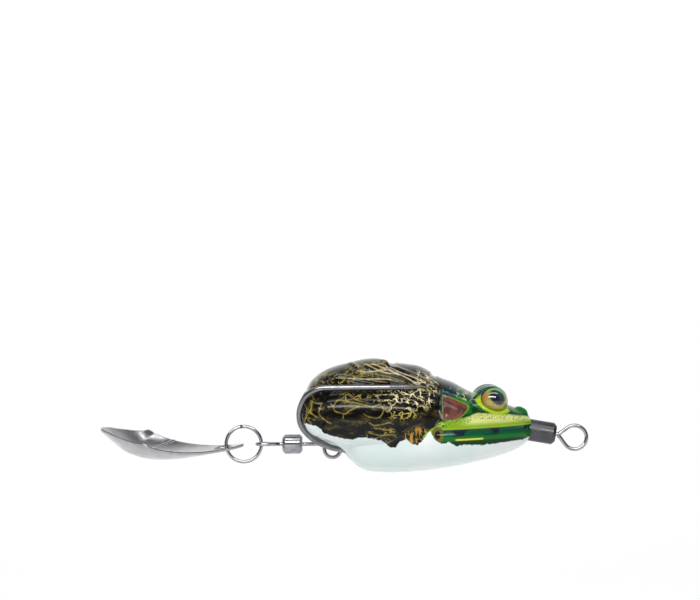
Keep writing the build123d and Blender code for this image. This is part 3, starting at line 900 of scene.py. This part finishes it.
black_nickel = metal("black nickel", rgb(0.24, 0.24, 0.25), rgb(0.19, 0.19, 0.20), 0.11)
bright_nickel = metal("bright nickel", rgb(0.42, 0.42, 0.44), rgb(0.28, 0.28, 0.30), 0.10)
barrel_black = metal("barrel black", rgb(0.085, 0.085, 0.090), rgb(0.110, 0.110, 0.115), 0.36)
barrel_nickel = metal("barrel nickel", rgb(0.40, 0.40, 0.42), rgb(0.26, 0.26, 0.28), 0.18)
lead = metal("lead", rgb(0.20, 0.20, 0.22), rgb(0.12, 0.12, 0.13), 0.45)
chrome = metal("chrome", rgb(0.46, 0.46, 0.475), rgb(0.38, 0.38, 0.395), 0.15)
BRIGHT_WIRES = (
    "weight_eye", "nose_link_eye", "line_tie_eye", "tail_front_eye", "tail_rear_eye", "split_ring",
)
for node_name in BRIGHT_WIRES:
    paint_node(node_name, bright_nickel)
paint_node("double_hook", black_nickel)
paint_node("nose_swivel_barrel", barrel_black)
paint_node("tail_swivel_barrel", barrel_nickel)
paint_node("belly_weight", lead)
for eye_name in EYE_MIDDLE:
    paint_node(eye_name, eye_material(eye_name))


# ---------------------------------------------------------------- spinner blade
# A kite plate in millimetres of the row frame, dished and with its rear flange folded up along a V.

BLADE_LOW, BLADE_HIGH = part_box("spinner_blade")
BLADE_TIP, BLADE_END = BLADE_LOW.x / MM, BLADE_HIGH.x / MM
BLADE_HALF_WIDTH = BLADE_HIGH.y / MM
BLADE_CORNER = BLADE_TIP + 10.2
BLADE_THICK = 0.62
BLADE_EDGE = 0.12
HOLE_X = BLADE_END - 4.5
HOLE_RADIUS = 1.68
HOLE_RIM_RADIUS = 2.1
KEEL = [
    (-52.6, 7.5), (-48.6, 5.7), (-46.0, 4.5), (-43.4, 3.6), (-41.0, 3.25), (-37.0, 3.3), (-32.0, 3.9),
    (-28.0, 4.6), (-25.0, 5.2), (-21.8, 6.0),
]
FOLD_MIDDLE, FOLD_CORNER = 4.0, 10.9
CROSS_RISE = 0.030
FLANGE_SLOPE, FOLD_SOFT = 0.42, 0.35
ARC_MIDDLE, ARC_BEND = 7.9, 0.10
ARC_RISE, ARC_HALF = 0.16, 0.17
RIM_RISE, RIM_HALF = 0.20, 0.22
BLADE_ROLL = math.radians(6.0)
BLADE_VOXEL = 0.13


def blade_outline():
    """The kite's edge as points, with a rounded tip and slightly bowed rear sides."""
    half = [(BLADE_TIP, 0.0), (BLADE_TIP + 0.35, 1.6), (BLADE_TIP + 1.9, 3.9), (BLADE_TIP + 5.2, 7.2)]
    half += [(BLADE_CORNER - 0.4, BLADE_HALF_WIDTH - 0.1), (BLADE_CORNER + 0.4, BLADE_HALF_WIDTH - 0.1)]
    half += [(BLADE_END - 3.0, 2.5), (BLADE_END - 0.3, 0.95), (BLADE_END, 0.4)]
    return half + [(x, -y) for x, y in reversed(half) if y > 0]


def flat_blade():
    """The plate before it is dished: outline and hole filled, given its thickness and a fine even mesh."""
    curve = bpy.data.curves.new("blade_plate", "CURVE")
    curve.dimensions = "2D"
    curve.fill_mode = "BOTH"
    curve.extrude = BLADE_THICK / 2 - BLADE_EDGE
    curve.bevel_depth = BLADE_EDGE
    curve.bevel_resolution = 3
    turn = np.linspace(0, 2 * math.pi, 64, endpoint=False)
    reach = HOLE_RADIUS + BLADE_EDGE
    hole = [(HOLE_X + reach * math.cos(a), reach * math.sin(a)) for a in turn]
    for loop in (blade_outline(), hole):
        spline = curve.splines.new("POLY")
        spline.points.add(len(loop) - 1)
        for point, (x, y) in zip(spline.points, loop):
            point.co = (x, y, 0, 1)
        spline.use_cyclic_u = True
    made = bpy.data.objects.new("blade_plate", curve)
    bpy.context.scene.collection.objects.link(made)
    plate = applied(made, "blade_plate")
    remesh = plate.modifiers.new("even mesh", "REMESH")
    remesh.mode = "VOXEL"
    remesh.voxel_size = BLADE_VOXEL
    relax = plate.modifiers.new("relax", "SMOOTH")
    relax.iterations = 4
    return applied(plate, "kite_blade")


def blade_height(x, y):
    """Height of the dished plate's middle, with the flange behind the fold turned up."""
    fold_x = BLADE_TIP + FOLD_MIDDLE + (FOLD_CORNER - FOLD_MIDDLE) * np.abs(y) / BLADE_HALF_WIDTH
    behind = fold_x - x
    bending = (behind + FOLD_SOFT) ** 2 / (4 * FOLD_SOFT)
    turned = np.where(behind > FOLD_SOFT, behind, np.where(behind < -FOLD_SOFT, 0, bending))
    return curve_through(KEEL, x) + CROSS_RISE * y**2 + FLANGE_SLOPE * turned


def blade_relief(x, y):
    """Raised line across the dish and raised rim round the hole, on the upper face only."""
    off_arc = np.abs(x - (BLADE_TIP + ARC_MIDDLE + ARC_BEND * y**2)) / np.sqrt(1 + (2 * ARC_BEND * y) ** 2)
    off_rim = np.abs(np.hypot(x - HOLE_X, y) - HOLE_RIM_RADIUS)
    return ARC_RISE * bead(off_arc, ARC_HALF) + RIM_RISE * bead(off_rim, RIM_HALF)


def shaped_blade():
    """The plate dished, folded and embossed, then rolled about its hole."""
    made = flat_blade()
    x, y, z = mesh_points(made).T
    upper = ramp(z, 0.0, BLADE_THICK / 2)
    z = z + blade_height(x, y) + upper * blade_relief(x, y)
    pivot = blade_height(np.array([HOLE_X]), np.array([0.0]))[0]
    rolled_y = y * math.cos(BLADE_ROLL) - (z - pivot) * math.sin(BLADE_ROLL)
    rolled_z = pivot + (z - pivot) * math.cos(BLADE_ROLL) + y * math.sin(BLADE_ROLL)
    set_points(made, np.stack([x, rolled_y, rolled_z], axis=1) * MM)
    return made


blade = shaped_blade()
smooth_shade(blade)
blade.data.materials.clear()
blade.data.materials.append(chrome)
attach(blade, "blade")
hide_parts("spinner_blade")


# ---------------------------------------------------------------- stage, light and camera

def pale_material(name, shade):
    made = bpy.data.materials.new(name)
    made.use_nodes = True
    shader = made.node_tree.nodes["Principled BSDF"]
    shader.inputs["Base Color"].default_value = (shade, shade, shade, 1)
    shader.inputs["Roughness"].default_value = 0.6
    return made


# The lure hangs this far above the floor, so that its tail can swing all the way down.
HANG_HEIGHT = 0.048


def stage_sheet():
    """One pale sheet: a floor that curves up into a backdrop."""
    depth, sweep_radius, height, half = 0.35, 0.25, 1.2, 2.0
    profile = [(-2.0, 0.0), (depth, 0.0)]
    profile += [
        (depth + sweep_radius * math.sin(a), sweep_radius * (1 - math.cos(a)))
        for a in np.linspace(0.1, math.pi / 2, 14)
    ]
    profile.append((depth + sweep_radius, height))
    verts = [(x, y, z - HANG_HEIGHT) for y, z in profile for x in (-half, half)]
    faces = [(2 * i, 2 * i + 1, 2 * i + 3, 2 * i + 2) for i in range(len(profile) - 1)]
    sheet = object_from("stage_sheet", verts, faces)
    smooth_shade(sheet)
    sheet.data.materials.append(pale_material("stage white", 0.86))


def area_light(name, place, target, size, power):
    lamp = bpy.data.lights.new(name, "AREA")
    lamp.shape = "RECTANGLE"
    lamp.size, lamp.size_y = size
    lamp.energy = power
    made = bpy.data.objects.new(name, lamp)
    made.location = place
    made.rotation_euler = (Vector(target) - Vector(place)).to_track_quat("-Z", "Y").to_euler()
    bpy.context.scene.collection.objects.link(made)
    return made


WORLD_COLOUR, WORLD_STRENGTH = (0.95, 0.97, 1.0, 1), 0.20


def studio():
    """Key and top lights in front, a dim rim light behind, and one for the backdrop."""
    middle = (0.0, 0.0, 0.012)
    area_light("key", (-0.12, -0.60, 0.36), middle, (0.80, 0.10), 4.2)
    rim = area_light("rim", (0.1, 0.35, 0.45), middle, (0.80, 0.08), 0.7)
    rim.visible_glossy = False
    area_light("top", (0.0, -0.32, 0.64), middle, (0.9, 0.12), 1.9)
    area_light("backdrop", (0.0, 0.15, 0.50), (0.0, 0.6, 0.25), (1.2, 0.2), 2.2)
    world = bpy.data.worlds.new("soft studio")
    bpy.context.scene.world = world
    world.use_nodes = True
    background = world.node_tree.nodes["Background"]
    background.inputs["Color"].default_value = WORLD_COLOUR
    background.inputs["Strength"].default_value = WORLD_STRENGTH


VIEW_WIDTH_MM = 150.9
SENSOR_MM = 36.0
LENS_MM = 200.0
CAMERA_X_MM, CAMERA_HEIGHT_MM = 1.1, 37.2


def camera():
    """Side view: level, with the lure low and slightly left of the middle, as the photograph frames it."""
    lens = bpy.data.cameras.new("camera")
    lens.lens = LENS_MM
    lens.sensor_width = SENSOR_MM
    lens.clip_end = 10
    distance = LENS_MM * VIEW_WIDTH_MM / SENSOR_MM * MM
    made = bpy.data.objects.new("camera", lens)
    made.location = (CAMERA_X_MM * MM, -distance, CAMERA_HEIGHT_MM * MM)
    made.rotation_euler = (math.pi / 2, 0, 0)
    bpy.context.scene.collection.objects.link(made)
    bpy.context.scene.camera = made


bpy.context.scene.view_settings.view_transform = "Standard"
stage_sheet()
studio()
camera()
